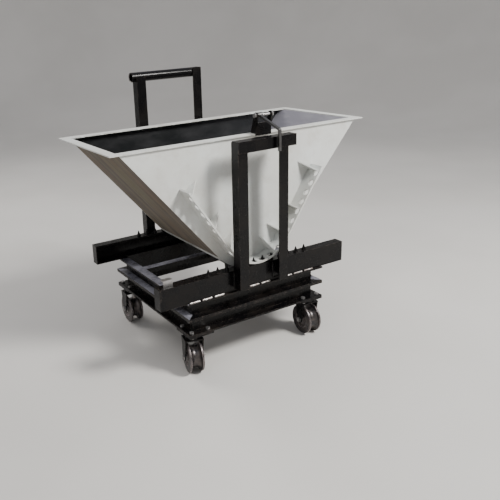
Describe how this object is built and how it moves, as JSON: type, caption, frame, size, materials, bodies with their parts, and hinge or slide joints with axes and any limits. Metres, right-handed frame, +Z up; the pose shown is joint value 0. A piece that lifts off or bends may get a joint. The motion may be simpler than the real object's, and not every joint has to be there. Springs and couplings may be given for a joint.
{
  "type": "rocker-dump mine cart",
  "caption": "Mine cart whose V-shaped hopper rolls sideways on toothed beams to tip its load, on swivelling wheels grooved for round rails.",
  "frame": {"origin": "on the ground plane that the wheel flanges stand on, under the middle of the four casters", "axes": "+X across the track, the way the hopper tips; +Y along the track, from the portal end to the push handle end; +Z up"},
  "size_m": [1.3658, 0.8803, 1.3175],
  "materials": {
    "black_enamel": "gloss enamel, worn",
    "white_paint": "satin paint, dusty",
    "bright_steel": "bare steel",
    "wheel_iron": "turned, worn",
    "zinc_steel": "zinc plated"
  },
  "bodies": {
    "chassis": {"lower_channel_near": "black_enamel", "lower_channel_far": "black_enamel", "lower_channel_right": "black_enamel", "lower_channel_left": "black_enamel", "upper_channel_near": "black_enamel", "upper_channel_far": "black_enamel", "upper_channel_right": "black_enamel", "upper_channel_left": "black_enamel", "cross_member_near": "black_enamel", "cross_member_far": "black_enamel", "rocker_beam_near": "black_enamel", "rocker_beam_far": "black_enamel", "beam_teeth_near": "black_enamel", "beam_teeth_far": "black_enamel", "beam_end_plates": "black_enamel", "stop_block": "bright_steel", "portal_post_left": "black_enamel", "portal_post_right": "black_enamel", "portal_crossbar": "black_enamel", "handle_post_left": "black_enamel", "handle_post_right": "black_enamel", "handle_pipe": "black_enamel", "caster_mount_plates": "black_enamel", "caster_kingpins": "zinc_steel", "caster_mount_bolts": "zinc_steel"},
    "roll_carrier": {"roll_centre_plugs": "white_paint"},
    "hopper": {"end_plate_near": "white_paint", "end_plate_far": "white_paint", "slope_plate_left": "white_paint", "slope_plate_right": "white_paint", "bottom_plate": "white_paint", "rim_bar_near": "white_paint", "rim_bar_far": "white_paint", "rim_bar_left": "white_paint", "rim_bar_right": "white_paint", "rocker_near": "white_paint", "rocker_far": "white_paint", "rocker_gussets_near": "white_paint", "rocker_gussets_far": "white_paint", "latch_bracket": "black_enamel", "latch_pivot_bolt": "zinc_steel"},
    "latch_lever": {"latch_lever": "bright_steel"},
    "fork_front_left": {"fork_front_left": "black_enamel", "axle_front_left": "zinc_steel"},
    "fork_front_right": {"fork_front_right": "black_enamel", "axle_front_right": "zinc_steel"},
    "fork_rear_left": {"fork_rear_left": "black_enamel", "axle_rear_left": "zinc_steel"},
    "fork_rear_right": {"fork_rear_right": "black_enamel", "axle_rear_right": "zinc_steel"},
    "wheel_front_left": {"wheel_front_left": "wheel_iron", "bearings_front_left": "bright_steel"},
    "wheel_front_right": {"wheel_front_right": "wheel_iron", "bearings_front_right": "bright_steel"},
    "wheel_rear_left": {"wheel_rear_left": "wheel_iron", "bearings_rear_left": "bright_steel"},
    "wheel_rear_right": {"wheel_rear_right": "wheel_iron", "bearings_rear_right": "bright_steel"}
  },
  "joints": [
    {"name": "roll_travel", "type": "slide", "parent": "chassis", "child": "roll_carrier", "axis": [1, 0, 0], "range_m": [-0.17, 0.19]},
    {"name": "hopper_roll", "type": "hinge", "parent": "roll_carrier", "child": "hopper", "pos_m": [0.018, 0, 0.6556], "axis": [0, 1, 0], "range_deg": [-50, 55]},
    {"name": "latch_swing", "type": "hinge", "parent": "hopper", "child": "latch_lever", "pos_m": [0.068, -0.304, 1.1373], "axis": [-1, 0, 0], "range_deg": [0, 100]},
    {"name": "swivel_front_left", "type": "hinge", "parent": "chassis", "child": "fork_front_left", "pos_m": [-0.34, -0.325, 0.19], "axis": [0, 0, 1], "continuous": true},
    {"name": "swivel_front_right", "type": "hinge", "parent": "chassis", "child": "fork_front_right", "pos_m": [0.34, -0.325, 0.19], "axis": [0, 0, 1], "continuous": true},
    {"name": "swivel_rear_left", "type": "hinge", "parent": "chassis", "child": "fork_rear_left", "pos_m": [-0.34, 0.325, 0.19], "axis": [0, 0, 1], "continuous": true},
    {"name": "swivel_rear_right", "type": "hinge", "parent": "chassis", "child": "fork_rear_right", "pos_m": [0.34, 0.325, 0.19], "axis": [0, 0, 1], "continuous": true},
    {"name": "spin_front_left", "type": "hinge", "parent": "fork_front_left", "child": "wheel_front_left", "pos_m": [-0.34, -0.325, 0.075], "axis": [0.9659, -0.2588, 0], "continuous": true},
    {"name": "spin_front_right", "type": "hinge", "parent": "fork_front_right", "child": "wheel_front_right", "pos_m": [0.34, -0.325, 0.075], "axis": [0.9976, -0.0698, 0], "continuous": true},
    {"name": "spin_rear_left", "type": "hinge", "parent": "fork_rear_left", "child": "wheel_rear_left", "pos_m": [-0.34, 0.325, 0.075], "axis": [0.9986, -0.0523, 0], "continuous": true},
    {"name": "spin_rear_right", "type": "hinge", "parent": "fork_rear_right", "child": "wheel_rear_right", "pos_m": [0.34, 0.325, 0.075], "axis": [1, 0, 0], "continuous": true}
  ],
  "couplings": [
    {"joint": "roll_travel", "follows": "hopper_roll", "m_per_rad": 0.19}
  ]
}
